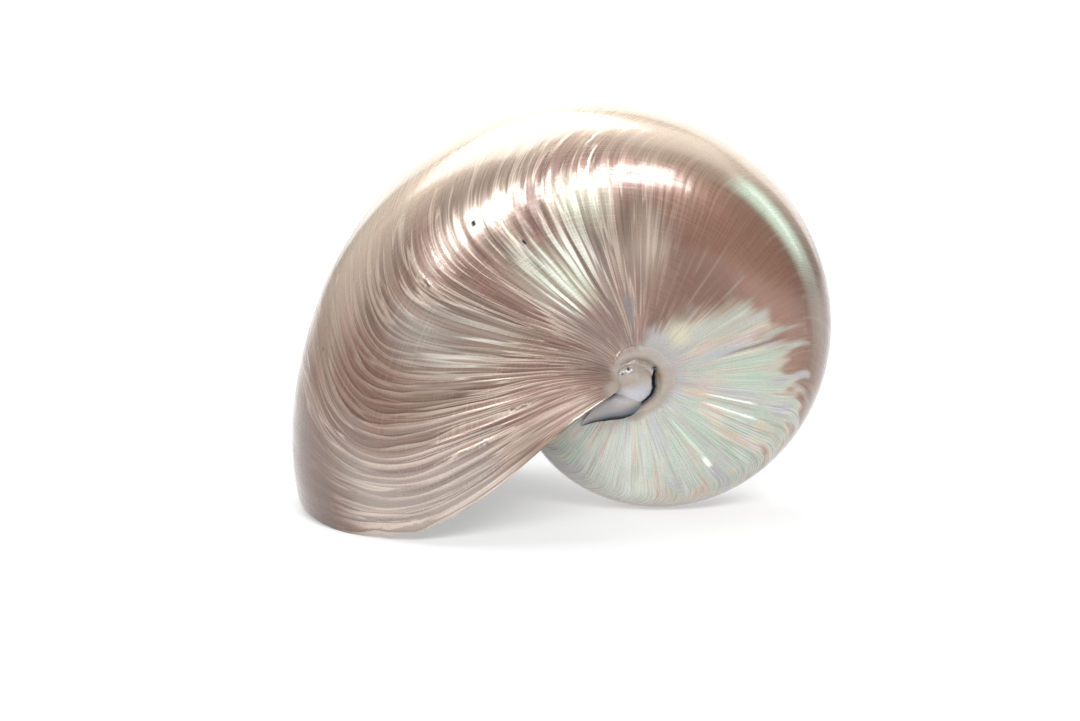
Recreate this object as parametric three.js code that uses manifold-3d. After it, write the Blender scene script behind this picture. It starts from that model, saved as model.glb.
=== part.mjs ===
// Chambered nautilus shell, polished down to its mother of pearl, one piece as it grew.
//
// It stands as such a shell is set on a shelf: on the two sides of its lip and on the round
// back of the coil, with the mouth facing down. Millimetres, +Z up, +Y along the coiling axis,
// +X from the mouth towards the coil. The origin is on the ground under the middle of the shell.
//
// The shell is a logarithmic spiral: one whorl section, which grows and turns about the coiling
// axis. An angle is measured about that axis, from +X towards +Z, and the shell gets older as it
// falls, so the angle at the lip less 360 degrees is the whorl that the lip wraps round.
import * as THREE from "three";
import { mergeVertices } from "three/addons/utils/BufferGeometryUtils.js";
import Module from "manifold-3d";

// The spiral.
const KEEL_RADIUS = 111.3; // coiling axis to the keel (the middle of the back), at the lip
const TURN_GROWTH = 2.843; // every length grows by this in one full turn
const LIP_ANGLE = 216.15; // degrees, the most forward part of the lip, on the flanks
const FLARE = 0.037; // the mouth opens by this share more than the spiral alone
const FLARE_FROM = 170; // degrees, where that starts
const FLARE_TO = 205; // degrees, and where it is complete

// The whorl section, as shares of the keel radius at the same angle.
const HALF_WIDTH = 0.376; // middle plane to the widest part of the flank
const WIDEST_AT = 0.46; // coiling axis to the widest part of the flank
const UMBILICUS_RADIUS = 0.04; // coiling axis to the inner end of the flank
const UMBILICUS_WIDTH = 0.6; // half width at that end, as a share of HALF_WIDTH
const BACK_ROUNDNESS = 2.25; // exponent of the superellipse from keel to flank, 2 being an ellipse
const SHOULDER_ROUNDNESS = 2.5; // the same, from the flank to the umbilicus

// The line of the lip. It hangs back in a notch at the keel, and again towards the umbilicus.
// Depths are in degrees of the spiral, and the others in degrees of the section from the keel.
const NOTCH_DEPTH = 13.5;
const NOTCH_REACH = 97;
const LAG_DEPTH = 13.5;
const LAG_FROM = 84;
const LAG_TO = 154;

// The living chamber: from the lip back to the last septum, a bowl with the siphuncle's hole.
const WALL = 2;
const LIP_WALL = 1.2;
const LIP_TAPER = 12; // degrees over which the wall thins to the lip
const SEPTUM_ANGLE = 82; // degrees, the rim of the septum
const SEPTUM_DEPTH = 17; // degrees that its bowl hangs back
const SEPTUM_MIDDLE = 0.62; // coiling axis to the bottom of the bowl, as a share of the keel radius
const SIPHUNCLE_RADIUS = 1.8;
const SIPHUNCLE_DEPTH = 8;

// The callus: a rounded plug that closes the umbilicus on both sides.
const CALLUS_RADIUS = 6.5;
const CALLUS_REACH = 27; // middle plane to the top of the plug
const CALLUS_DOME = 6;

// Where it stands: coiling axis to the ground, to which the keel and the lip are worn flat.
const AXIS_HEIGHT = 46.2;

// Facets.
const STEP = 6; // degrees along the spiral
const SECTION_STEPS = 20; // from keel to umbilicus, on each side
const DORSAL_STEPS = 4; // across the inner end of the section
const COIL_START = LIP_ANGLE - 520; // the coil starts inside, behind the last septum
const COIL_END = 40; // where the filled coil runs into the part with the living chamber

const radians = THREE.MathUtils.degToRad;
const smoothstep = THREE.MathUtils.smoothstep;

function keelRadius(angle) {
  const flare = 1 + FLARE * smoothstep(angle, FLARE_FROM, FLARE_TO);
  return KEEL_RADIUS * TURN_GROWTH ** ((angle - LIP_ANGLE) / 360) * flare;
}

// The stations round a closed section: turn is 0 at the keel and plus or minus 180 at the inner
// ends of the flanks, and across runs from 1 to -1 over the straight inner end between them.
function sectionStations() {
  const stations = [];
  for (let i = -SECTION_STEPS; i <= SECTION_STEPS; i++) {
    stations.push({ turn: (180 * i) / SECTION_STEPS, across: Math.sign(i) });
  }
  for (let i = 1; i < DORSAL_STEPS; i++) {
    stations.push({ turn: 180, across: 1 - (2 * i) / DORSAL_STEPS });
  }
  return stations;
}

// A point of the section, drawn in from the surface by a wall thickness: { out } is its distance
// from the coiling axis and { side } from the middle plane.
function sectionPoint({ turn, across }, radius, wall) {
  const c = Math.cos(radians(turn));
  const s = Math.abs(Math.sin(radians(turn)));
  const onBack = c >= 0;
  const power = 2 / (onBack ? BACK_ROUNDNESS : SHOULDER_ROUNDNESS);
  const reach = (onBack ? 1 - WIDEST_AT : WIDEST_AT - UMBILICUS_RADIUS) * radius - wall;
  const least = onBack ? 0 : UMBILICUS_WIDTH;
  return {
    out: WIDEST_AT * radius + Math.sign(c) * reach * Math.abs(c) ** power,
    side: across * (HALF_WIDTH * radius - wall) * (least + (1 - least) * s ** power),
  };
}

// How far the lip hangs back at a station, in degrees of the spiral.
function hangBack({ turn }) {
  const fromKeel = Math.min(Math.abs(turn) / NOTCH_REACH, 1);
  const notch = (NOTCH_DEPTH * (1 + Math.cos(Math.PI * fromKeel))) / 2;
  const lagging = THREE.MathUtils.clamp((Math.abs(turn) - LAG_FROM) / (LAG_TO - LAG_FROM), 0, 1);
  return notch + LAG_DEPTH * lagging;
}

function onSpiral(out, side, angle) {
  return new THREE.Vector3(out * Math.cos(radians(angle)), side, out * Math.sin(radians(angle)));
}

// A ring round the whorl, parallel to the lip.
function ring(stations, angle, wall = 0, notch = 1) {
  return stations.map((station) => {
    const here = angle - notch * hangBack(station);
    const { out, side } = sectionPoint(station, keelRadius(here), wall);
    return onSpiral(out, side, here);
  });
}

// A ring of the last septum, at a share of the way from the bottom of its bowl to its rim.
function septumRing(stations, share) {
  const here = SEPTUM_ANGLE - SEPTUM_DEPTH * Math.cos((Math.PI / 2) * share);
  const radius = keelRadius(here);
  return stations.map((station) => {
    const { out, side } = sectionPoint(station, radius, WALL);
    return onSpiral(THREE.MathUtils.lerp(SEPTUM_MIDDLE * radius, out, share), side * share, here);
  });
}

// A closed skin over a row of rings, with a point at each end. The rings run so that, seen
// from the first, they turn the way that makes the faces point out.
function skin(rings) {
  const count = rings[0].length;
  const positions = rings.flat().flatMap((p) => p.toArray());
  const indices = [];
  for (let i = 0; i + 1 < rings.length; i++) {
    for (let j = 0; j < count; j++) {
      const a = i * count + j;
      const b = i * count + ((j + 1) % count);
      indices.push(a, b, a + count, b, b + count, a + count);
    }
  }
  for (const end of [0, rings.length - 1]) {
    const middle = rings[end].reduce((sum, p) => sum.add(p), new THREE.Vector3()).divideScalar(count);
    const tip = positions.push(...middle.toArray()) / 3 - 1;
    for (let j = 0; j < count; j++) {
      const a = end * count + j;
      const b = end * count + ((j + 1) % count);
      indices.push(...(end === 0 ? [tip, b, a] : [tip, a, b]));
    }
  }
  return new THREE.BufferGeometry()
    .setAttribute("position", new THREE.Float32BufferAttribute(positions, 3))
    .setIndex(indices);
}

function anglesFrom(start, end) {
  const steps = Math.ceil((end - start) / STEP);
  return Array.from({ length: steps + 1 }, (_, i) => start + ((end - start) * i) / steps);
}

// The coil behind the living chamber, filled.
function coilGeometry(stations) {
  return skin(anglesFrom(COIL_START, COIL_END).map((angle) => ring(stations, angle)));
}

// The last part of the whorl: out over its back to the lip, then in along the wall of the living
// chamber to the last septum, whose rim is straight.
function mouthGeometry(stations) {
  const outside = anglesFrom(COIL_END, LIP_ANGLE).map((angle) => ring(stations, angle));
  const inside = anglesFrom(SEPTUM_ANGLE, LIP_ANGLE).map((angle) => {
    const thinning = smoothstep(angle, LIP_ANGLE - LIP_TAPER, LIP_ANGLE);
    const notch = (angle - SEPTUM_ANGLE) / (LIP_ANGLE - SEPTUM_ANGLE);
    return ring(stations, angle, THREE.MathUtils.lerp(WALL, LIP_WALL, thinning), notch);
  });
  const bowl = [0.25, 0.5, 0.75].map((share) => septumRing(stations, share));
  return skin([...outside, ...inside.reverse(), ...bowl.reverse()]);
}

// A plug turned about the coiling axis, with a dome at both ends.
function callusGeometry() {
  const profile = [];
  const domeSteps = 6;
  for (let i = 0; i <= domeSteps; i++) {
    const a = ((Math.PI / 2) * i) / domeSteps;
    profile.push(
      new THREE.Vector2(CALLUS_RADIUS * Math.sin(a), -CALLUS_REACH + CALLUS_DOME * (1 - Math.cos(a))),
    );
  }
  const otherEnd = profile.map((p) => new THREE.Vector2(p.x, -p.y)).reverse();
  return new THREE.LatheGeometry([...profile, ...otherEnd], 20);
}

// The hole of the siphuncle, from the bowl of the last septum back along the spiral.
function siphuncleGeometry() {
  const angle = SEPTUM_ANGLE - SEPTUM_DEPTH;
  const { x, z } = onSpiral(SEPTUM_MIDDLE * keelRadius(angle), 0, angle);
  return new THREE.CylinderGeometry(SIPHUNCLE_RADIUS, SIPHUNCLE_RADIUS, 2 * SIPHUNCLE_DEPTH, 12)
    .rotateY(radians(15))
    .rotateX(radians(90))
    .rotateY(radians(-angle))
    .translate(x, 0, z);
}

const wasm = await Module();
wasm.setup();

function toSolid(geometry) {
  const bare = geometry.clone().deleteAttribute("normal").deleteAttribute("uv");
  const merged = mergeVertices(bare, 1e-4);
  return new wasm.Manifold(
    new wasm.Mesh({
      numProp: 3,
      vertProperties: merged.attributes.position.array,
      triVerts: new Uint32Array(merged.index.array),
    }),
  );
}

function toGeometry(solid) {
  const mesh = solid.getMesh();
  const geometry = new THREE.BufferGeometry()
    .setAttribute("position", new THREE.BufferAttribute(mesh.vertProperties, 3))
    .setIndex(new THREE.BufferAttribute(mesh.triVerts, 1))
    .toNonIndexed();
  geometry.computeVertexNormals();
  return geometry;
}

// The ground, as a block under the plane that the shell stands on.
function groundGeometry() {
  const size = 3 * KEEL_RADIUS;
  return new THREE.BoxGeometry(size, size, size).translate(0, 0, -AXIS_HEIGHT - size / 2);
}

function shellGeometry() {
  const stations = sectionStations();
  const solid = toSolid(mouthGeometry(stations))
    .add(toSolid(coilGeometry(stations)))
    .add(toSolid(callusGeometry()))
    .subtract(toSolid(siphuncleGeometry()))
    .subtract(toSolid(groundGeometry()));
  const geometry = toGeometry(solid);
  geometry.computeBoundingBox();
  const { min, max } = geometry.boundingBox;
  return geometry.translate(-(min.x + max.x) / 2, 0, AXIS_HEIGHT);
}

const nacre = new THREE.MeshStandardMaterial({ color: 0xb5a79c, roughness: 0.2, metalness: 0 });
const shell = new THREE.Mesh(shellGeometry(), nacre);
shell.name = "shell";

const nautilus = new THREE.Group();
nautilus.add(shell);

export default nautilus;
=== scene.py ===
"""Chambered nautilus shell, polished to its mother of pearl, standing mouth down on a pale table.

The whorl is grown the way the animal grows it: one growth line is laid down, then repeated round
the coiling axis, turned and enlarged by the same step each time. Angles are in degrees about the
coiling axis, from +X towards +Z. They rise towards the lip, so the lip's angle less 360 is the
whorl that the lip wraps round. Lengths are in metres.

Three attributes say where a point lies on the shell. Its growth, or age, is the angle of its
growth line, taken where that line is most forward. Its girth is the turn from the keel round the
section, negative on the near side. Its wall says which side of the shell's wall it is on.
"""

import math

import bpy
import numpy as np
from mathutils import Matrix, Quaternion, Vector


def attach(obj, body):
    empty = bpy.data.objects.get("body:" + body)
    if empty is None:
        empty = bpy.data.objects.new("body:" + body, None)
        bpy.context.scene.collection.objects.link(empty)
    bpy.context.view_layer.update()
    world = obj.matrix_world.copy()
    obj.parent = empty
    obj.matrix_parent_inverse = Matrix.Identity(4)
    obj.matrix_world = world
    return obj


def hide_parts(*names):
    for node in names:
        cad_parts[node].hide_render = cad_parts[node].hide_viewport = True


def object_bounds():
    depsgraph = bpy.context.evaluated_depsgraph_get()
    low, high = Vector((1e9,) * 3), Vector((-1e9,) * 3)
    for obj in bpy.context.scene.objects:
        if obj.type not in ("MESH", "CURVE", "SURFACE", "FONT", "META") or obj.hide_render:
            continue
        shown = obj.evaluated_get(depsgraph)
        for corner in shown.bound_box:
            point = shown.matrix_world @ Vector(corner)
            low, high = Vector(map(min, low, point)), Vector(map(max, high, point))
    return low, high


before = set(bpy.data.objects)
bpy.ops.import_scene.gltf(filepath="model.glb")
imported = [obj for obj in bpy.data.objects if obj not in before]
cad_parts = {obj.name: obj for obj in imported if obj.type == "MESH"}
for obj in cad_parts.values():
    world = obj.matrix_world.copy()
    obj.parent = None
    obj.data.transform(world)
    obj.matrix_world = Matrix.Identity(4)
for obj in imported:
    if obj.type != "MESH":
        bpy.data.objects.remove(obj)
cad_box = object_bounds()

MM = 0.001

# The spiral and its whorl section, as in the solid.
KEEL_RADIUS = 111.3 * MM
TURN_GROWTH = 2.843
LIP_ANGLE = 216.15
FLARE = 0.037
FLARE_FROM = 170.0
FLARE_TO = 205.0
HALF_WIDTH = 0.376
WIDEST_AT = 0.46
UMBILICUS_RADIUS = 0.04
UMBILICUS_WIDTH = 0.6
BACK_ROUNDNESS = 2.25
SHOULDER_ROUNDNESS = 2.5
AXIS_HEIGHT = 46.2 * MM

# The wall, and the middle of the section to the wall, as a share of the keel radius.
WALL = 2.0 * MM
LIP_WALL = 1.2 * MM
LIP_TAPER = 12.0
LIP_ROUNDING = 0.3  # degrees that the middle of the lip's edge stands forward
WALL_REACH = 1.15 * HALF_WIDTH
LIP_REACH = 0.43

# The last septum. Shares are of the way from its middle to its rim.
SEPTUM_DEPTH = 17.0
SEPTUM_MIDDLE = 0.62
SEPTUM_SHARES = (0.97, 0.9, 0.8, 0.68, 0.55, 0.42, 0.3, 0.2, 0.12)
SIPHUNCLE_SHARE = 0.065
SIPHUNCLE_DEPTH = 11.0  # degrees
SIPHUNCLE_DEPTH_SHARES = (0.05, 0.5, 1.0)

# How finely the whorl is grown, in degrees and in points round the section.
STATIONS = 128
GROWTH_STEP = 0.8
GROWTH_STEPS = 638
CHAMBER_STEP = 2.0
CHAMBER_STEPS = 67

RATE = math.log(TURN_GROWTH) / 360.0  # growth per degree, in natural logarithms
COIL_START = LIP_ANGLE - GROWTH_STEP * GROWTH_STEPS
SEPTUM_ANGLE = LIP_ANGLE - CHAMBER_STEP * CHAMBER_STEPS
OUTSIDE, EDGE, INSIDE = 0.0, 0.5, 1.0  # the sides of the shell's wall
MARGIN = 0.1  # for telling those sides apart
SAME = 0.01  # two ages or sides closer than this are the same

# How far a growth line hangs back from its most forward part, in degrees of the spiral, on the
# young shell, on the grown shell and at the lip: the notch at the keel, how far round the section
# it goes, and the lag towards the umbilicus.
YOUNG_NOTCH, GROWN_NOTCH, LIP_NOTCH = 12.0, 22.0, 13.5
YOUNG_NOTCH_REACH, GROWN_NOTCH_REACH, LIP_NOTCH_REACH = 50.0, 70.0, 97.0
YOUNG_LAG, GROWN_LAG, LIP_LAG = 4.0, 16.0, 13.5
GROWN_FROM, GROWN_TO = 80.0, 130.0  # ages between which the shell grows up
LIP_FROM = LIP_ANGLE - 26.0  # age from which the growth lines take the lip's shape

# The lip is chipped most below the near flank.
CHIPPED_AT = -62.0
CHIPPED_WIDTH = 22.0
CHIPPED_AGES = 2.5

# The relief of growth: widths of the terraces in degrees, and heights in millimetres.
WIDE_TERRACE, WIDE_TERRACE_HEIGHT = 5.2, 0.36
NARROW_TERRACE, NARROW_TERRACE_HEIGHT = 2.4, 0.22
SWELL_HEIGHT = 0.3
TERRACE_CREST = 0.78  # share of a terrace's width where it starts to fall
FOLDS_AT, FOLDS_WIDTH = 112.0, 17.0  # ages with the deepest folds
FULL_COIL = 42.0 * MM  # distance from the coiling axis at which the relief is full


def keel_radius(angle):
    return KEEL_RADIUS * np.exp(RATE * (angle - LIP_ANGLE))


def coiling_axis():
    """The coil's centre: its keel reaches furthest along +X where it runs square to X."""
    slope = math.atan(math.degrees(RATE))
    reach = keel_radius(math.degrees(slope)) * math.cos(slope)
    return Vector((cad_box[1][0] - reach, 0.0, AXIS_HEIGHT))


AXIS = coiling_axis()


def smoothstep(low, high, x):
    t = np.clip((x - low) / (high - low), 0.0, 1.0)
    return t * t * (3.0 - 2.0 * t)


def lerp(a, b, t):
    return a + (b - a) * t


def smooth_max(a, b, softness):
    return 0.5 * (a + b + np.sqrt((a - b) ** 2 + softness**2))


def hump(distance, width, power=2):
    """A hump of 1 at no distance that falls away over a width."""
    return np.exp(-((distance / width) ** power))


def value_noise(points, seed):
    """Smooth noise from 0 to 1 at points of two numbers each, one lump per unit."""
    size = 256
    table = np.random.default_rng(seed).random((size, size))
    cell = np.floor(points).astype(int)
    t = points - cell
    t = t * t * (3.0 - 2.0 * t)
    total = np.zeros(len(points))
    for right, up in ((0, 0), (1, 0), (0, 1), (1, 1)):
        weight = np.abs(1.0 - right - t[:, 0]) * np.abs(1.0 - up - t[:, 1])
        total += weight * table[(cell[:, 0] + right) % size, (cell[:, 1] + up) % size]
    return total


def plane_noise(x, y, seed):
    return value_noise(np.stack(np.broadcast_arrays(x, y), axis=1), seed)


# ---------------------------------------------------------------- selecting and reading meshes


def activate(*pieces):
    bpy.ops.object.select_all(action="DESELECT")
    for piece in pieces:
        piece.select_set(True)
    bpy.context.view_layer.objects.active = pieces[0]


def new_primitive(name, add, **settings):
    """Adds a primitive with everything else deselected, and names it."""
    bpy.ops.object.select_all(action="DESELECT")
    add(**settings)
    made = bpy.context.active_object
    made.name = name
    return made


def coordinates(piece):
    co = np.empty(len(piece.data.vertices) * 3)
    piece.data.vertices.foreach_get("co", co)
    return co.reshape(-1, 3)


def set_coordinates(piece, co):
    piece.data.vertices.foreach_set("co", np.ascontiguousarray(co).ravel())
    piece.data.update()


def normals(piece):
    out = np.empty(len(piece.data.vertices) * 3)
    piece.data.vertex_normals.foreach_get("vector", out)
    return out.reshape(-1, 3)


def set_attribute(piece, name, values):
    layer = piece.data.attributes.get(name) or piece.data.attributes.new(name, "FLOAT", "POINT")
    layer.data.foreach_set("value", np.asarray(values, np.float32))


def attribute(piece, name):
    values = np.empty(len(piece.data.vertices), np.float32)
    piece.data.attributes[name].data.foreach_get("value", values)
    return values.astype(float)


def on_outside(piece):
    return attribute(piece, "wall") < OUTSIDE + MARGIN


def select_points(piece, chosen):
    """Selects exactly these points, with the edges and faces between them."""
    mesh = piece.data
    mesh.vertices.foreach_set("select", chosen)
    edges = np.empty(len(mesh.edges) * 2, np.int32)
    mesh.edges.foreach_get("vertices", edges)
    mesh.edges.foreach_set("select", chosen[edges.reshape(-1, 2)].all(axis=1))
    corners = np.empty(len(mesh.loops), np.int32)
    mesh.loops.foreach_get("vertex_index", corners)
    starts = np.empty(len(mesh.polygons), np.int32)
    mesh.polygons.foreach_get("loop_start", starts)
    whole = np.add.reduceat(chosen[corners].astype(int), starts)
    sizes = np.empty(len(mesh.polygons), np.int32)
    mesh.polygons.foreach_get("loop_total", sizes)
    mesh.polygons.foreach_set("select", whole == sizes)


def edit(piece, *steps):
    """Runs edit-mode steps on the selected points of a piece."""
    activate(piece)
    bpy.ops.object.mode_set(mode="EDIT")
    bpy.ops.mesh.select_mode(type="VERT")
    for step in steps:
        step()
    bpy.ops.object.mode_set(mode="OBJECT")


def take_all():
    bpy.ops.mesh.select_all(action="SELECT")


def face_outwards():
    bpy.ops.mesh.normals_make_consistent(inside=False)


# ---------------------------------------------------------------- the whorl


def whorl_section():
    """The section at a keel radius of one: turn from the keel in degrees, distance from the
    coiling axis, and distance from the middle plane."""
    half = STATIONS // 2
    steps = np.arange(STATIONS)
    signed = np.where(steps <= half, steps, steps - STATIONS)
    turn = np.clip(signed * 180.0 / (half - 1), -180.0, 180.0)
    c, s = np.cos(np.radians(turn)), np.abs(np.sin(np.radians(turn)))
    on_back = c >= 0.0
    power = np.where(on_back, 2.0 / BACK_ROUNDNESS, 2.0 / SHOULDER_ROUNDNESS)
    reach = np.where(on_back, 1.0 - WIDEST_AT, WIDEST_AT - UMBILICUS_RADIUS)
    least = np.where(on_back, 0.0, UMBILICUS_WIDTH)
    out = WIDEST_AT + np.sign(c) * reach * np.abs(c) ** power
    side = np.sign(turn) * HALF_WIDTH * (least + (1.0 - least) * s**power)
    side[half] = 0.0
    return turn, out, side


def about_axis(angle, out, side):
    """Points at an angle and a distance from the coiling axis, and off the middle plane."""
    a = np.radians(angle) + np.zeros_like(out)
    return np.stack([out * np.cos(a), side + np.zeros_like(a), out * np.sin(a)], axis=-1)


def slide(co, degrees):
    """Moves points along the spiral, each by its own number of degrees: turned, and enlarged."""
    degrees = degrees + np.zeros(len(co))
    a = np.radians(degrees)
    grown = co * np.exp(RATE * degrees)[:, None]
    x, z = grown[:, 0].copy(), grown[:, 2].copy()
    grown[:, 0] = x * np.cos(a) - z * np.sin(a)
    grown[:, 2] = x * np.sin(a) + z * np.cos(a)
    return grown


def draw_in(co, angle, share, middle=WIDEST_AT):
    """Moves points towards the middle of their section by a share of the way."""
    centre = about_axis(angle + np.zeros(len(co)), middle * keel_radius(angle), 0.0)
    return co + (centre - co) * (share + np.zeros(len(co)))[:, None]


def grow_tube(name, first, step, count, wall_side):
    """A tube along the spiral. One growth line is extruded by a step, and the strip that gives
    is repeated round the coiling axis, each copy turned and enlarged from the one before."""
    tube = new_primitive(name, bpy.ops.mesh.primitive_circle_add, vertices=STATIONS, radius=1.0)
    turn, out, side = whorl_section()
    radius = keel_radius(first)
    set_coordinates(tube, about_axis(first, out * radius, side * radius))
    edit(tube, take_all, bpy.ops.mesh.extrude_region)
    co = coordinates(tube)
    co[STATIONS:] = slide(co[:STATIONS], step)
    set_coordinates(tube, co)

    pivot = bpy.data.objects.new(name + "_step", None)
    bpy.context.scene.collection.objects.link(pivot)
    pivot.rotation_euler = (0.0, -math.radians(step), 0.0)
    pivot.scale = [math.exp(RATE * step)] * 3
    bpy.context.view_layer.update()
    array = tube.modifiers.new("growth", "ARRAY")
    array.use_relative_offset = False
    array.use_object_offset = True
    array.offset_object = pivot
    array.count = count
    activate(tube)
    bpy.ops.object.modifier_apply(modifier=array.name)
    bpy.data.objects.remove(pivot)

    index = np.arange(len(tube.data.vertices))
    row = index // (2 * STATIONS) + (index % (2 * STATIONS)) // STATIONS
    set_attribute(tube, "growth", first + step * row)
    set_attribute(tube, "girth", turn[index % STATIONS])
    set_attribute(tube, "wall", np.full(len(index), wall_side))
    edit(tube, take_all, lambda: bpy.ops.mesh.remove_doubles(threshold=0.01 * MM))
    return tube


def extrude_ring(piece, ring, place):
    """Extrudes a ring of points and puts the new ring where place says. Returns the new ring."""
    before = len(piece.data.vertices)
    select_points(piece, ring)
    edit(piece, bpy.ops.mesh.extrude_region)
    co = coordinates(piece)
    new = np.arange(len(co)) >= before
    co[new] = place(co[new])
    set_coordinates(piece, co)
    return new


def ring_at(piece, angle, wall_side):
    same_age = np.abs(attribute(piece, "growth") - angle) < SAME
    return same_age & (np.abs(attribute(piece, "wall") - wall_side) < SAME)


def round_lip(whorl):
    """Closes the lip with a narrow rounded edge between the outside and the chamber's wall."""

    def half_way_in(co):
        middle = draw_in(co, LIP_ANGLE, 0.5 * LIP_WALL / (LIP_REACH * KEEL_RADIUS))
        return slide(middle, LIP_ROUNDING)

    edge = extrude_ring(whorl, ring_at(whorl, LIP_ANGLE, OUTSIDE), half_way_in)
    wall = attribute(whorl, "wall")
    wall[edge] = EDGE
    set_attribute(whorl, "wall", wall)
    select_points(whorl, edge | ring_at(whorl, LIP_ANGLE, INSIDE))
    edit(whorl, bpy.ops.mesh.bridge_edge_loops)


def close_chamber(whorl):
    """Closes the chamber with the last septum, a bowl with the neck of the siphuncle in it."""
    ring = ring_at(whorl, SEPTUM_ANGLE, INSIDE)
    rim = coordinates(whorl)[ring]
    bowl = [
        (share, SEPTUM_DEPTH * math.cos(math.pi / 2.0 * share))
        for share in (*SEPTUM_SHARES, SIPHUNCLE_SHARE)
    ]
    neck = [
        (SIPHUNCLE_SHARE, SEPTUM_DEPTH + SIPHUNCLE_DEPTH * share)
        for share in SIPHUNCLE_DEPTH_SHARES
    ]
    for share, sag in bowl + neck:
        drawn = slide(draw_in(rim, SEPTUM_ANGLE, 1.0 - share, SEPTUM_MIDDLE), -sag)
        ring = extrude_ring(whorl, ring, lambda co: drawn)
    select_points(whorl, ring)
    edit(whorl, bpy.ops.mesh.edge_face_add)


def build_whorl():
    """The whole coil: outside, lip, living chamber and last septum, as one closed skin."""
    whorl = grow_tube("whorl", COIL_START, GROWTH_STEP, GROWTH_STEPS, OUTSIDE)
    chamber = grow_tube("chamber", SEPTUM_ANGLE, CHAMBER_STEP, CHAMBER_STEPS, INSIDE)
    age = attribute(chamber, "growth")
    thickness = lerp(WALL, LIP_WALL, smoothstep(LIP_ANGLE - LIP_TAPER, LIP_ANGLE, age))
    share = thickness / (WALL_REACH * keel_radius(age))
    set_coordinates(chamber, draw_in(coordinates(chamber), age, share))
    activate(whorl, chamber)
    bpy.ops.object.join()

    # The coil is closed where it starts, out of sight behind the last septum.
    select_points(whorl, ring_at(whorl, COIL_START, OUTSIDE))
    edit(whorl, bpy.ops.mesh.edge_face_add)
    round_lip(whorl)
    close_chamber(whorl)
    edit(whorl, take_all, face_outwards)
    return whorl


def hang_back(age, girth):
    """How far a growth line hangs back from its most forward part, in degrees of the spiral: a
    deep notch at the keel and a sweep towards the umbilicus, both stronger on the grown shell,
    and the lip's own shallower line at the end."""
    grown = smoothstep(GROWN_FROM, GROWN_TO, age)
    lip = smoothstep(LIP_FROM, LIP_ANGLE, age)
    depth = lerp(lerp(YOUNG_NOTCH, GROWN_NOTCH, grown), LIP_NOTCH, lip)
    reach = lerp(lerp(YOUNG_NOTCH_REACH, GROWN_NOTCH_REACH, grown), LIP_NOTCH_REACH, lip)
    turn = np.abs(girth)
    notch = depth * 0.5 * (1.0 + np.cos(math.pi * np.minimum(turn / reach, 1.0)))
    lag = lerp(YOUNG_LAG, GROWN_LAG, grown) * (1.0 - lip) * smoothstep(74.0, 150.0, turn)
    lag += lip * LIP_LAG * smoothstep(75.0, 165.0, turn)
    return notch + lag


def lip_chips(girth):
    """How far the worn edge of the lip is chipped back, in degrees."""
    chipped = 0.15 + 0.9 * hump(girth - CHIPPED_AT, CHIPPED_WIDTH)
    uneven = plane_noise(girth / 5.0 + 90.0, 3.0, 51)
    uneven = uneven + 0.5 * plane_noise(girth / 2.2 + 190.0, 3.0, 52)
    return chipped * np.clip(uneven - 0.6, 0.0, 1.0) * (np.abs(girth) < 170.0)


def lay_growth_lines(whorl):
    """Lets each growth line hang back along the spiral, and flares the mouth."""
    age, girth = attribute(whorl, "growth"), attribute(whorl, "girth")
    is_inside = attribute(whorl, "wall") > INSIDE - MARGIN
    # Inside, the rows straighten towards the septum's rim, which is level.
    from_septum = np.clip((age - SEPTUM_ANGLE) / (LIP_ANGLE - SEPTUM_ANGLE), 0.0, 1.0)
    hang = hang_back(age, girth) * np.where(is_inside, from_septum, 1.0)
    hang += lip_chips(girth) * smoothstep(LIP_ANGLE - CHIPPED_AGES, LIP_ANGLE, age)
    co = slide(coordinates(whorl), -hang)
    flare = 1.0 + FLARE * smoothstep(FLARE_FROM, FLARE_TO, age - hang)
    set_coordinates(whorl, co * flare[:, None])


# ---------------------------------------------------------------- the relief of growth


def terraces(age, girth, width, seed):
    """Growth terraces from 0 to 1: each rises slowly with age and ends in a quick step down."""
    drift = 1.4 * plane_noise(age / (3.0 * width), girth / 70.0, seed)
    place = age / width + drift
    cell = np.floor(place).astype(int)
    sizes = 0.25 + 0.75 * np.random.default_rng(seed + 100).random(256)
    rise = place - cell
    rising = smoothstep(0.0, TERRACE_CREST, rise)
    falling = 1.0 - smoothstep(TERRACE_CREST, 1.0, rise)
    return sizes[cell % 256] * np.where(rise < TERRACE_CREST, rising, falling)


def growth_relief(age, girth, out):
    """Height of the growth ridges in metres: terraces that follow the growth lines, strong on
    the grown part of the flank, and faint on the back and on the young shell."""
    grown = lerp(0.14, 1.0, smoothstep(62.0, 118.0, age))
    flank = lerp(0.14, 1.0, smoothstep(28.0, 72.0, np.abs(girth)))
    coil = np.clip(out / FULL_COIL, 0.12, 1.2)
    folded = 0.3 + 0.9 * hump(age - FOLDS_AT, FOLDS_WIDTH)
    folded = folded + 0.5 * smoothstep(165.0, 185.0, age)
    ridges = folded * WIDE_TERRACE_HEIGHT * terraces(age, girth, WIDE_TERRACE, 3)
    ridges = ridges + NARROW_TERRACE_HEIGHT * terraces(age, girth, NARROW_TERRACE, 5)
    swell = SWELL_HEIGHT * plane_noise(age / 12.0, girth / 45.0, 8)
    swell = swell * smoothstep(100.0, 150.0, age)
    return (ridges + swell) * MM * grown * flank * coil


def raise_growth_ridges(whorl):
    age, girth = attribute(whorl, "growth"), attribute(whorl, "girth")
    seen = on_outside(whorl) * smoothstep(COIL_START, COIL_START + 20.0, age)
    edge = 1.0 - 0.7 * smoothstep(LIP_ANGLE - 3.0, LIP_ANGLE, age)
    co = coordinates(whorl)
    height = growth_relief(age, girth, np.hypot(co[:, 0], co[:, 2])) * seen * edge
    set_coordinates(whorl, co + normals(whorl) * height[:, None])


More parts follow.
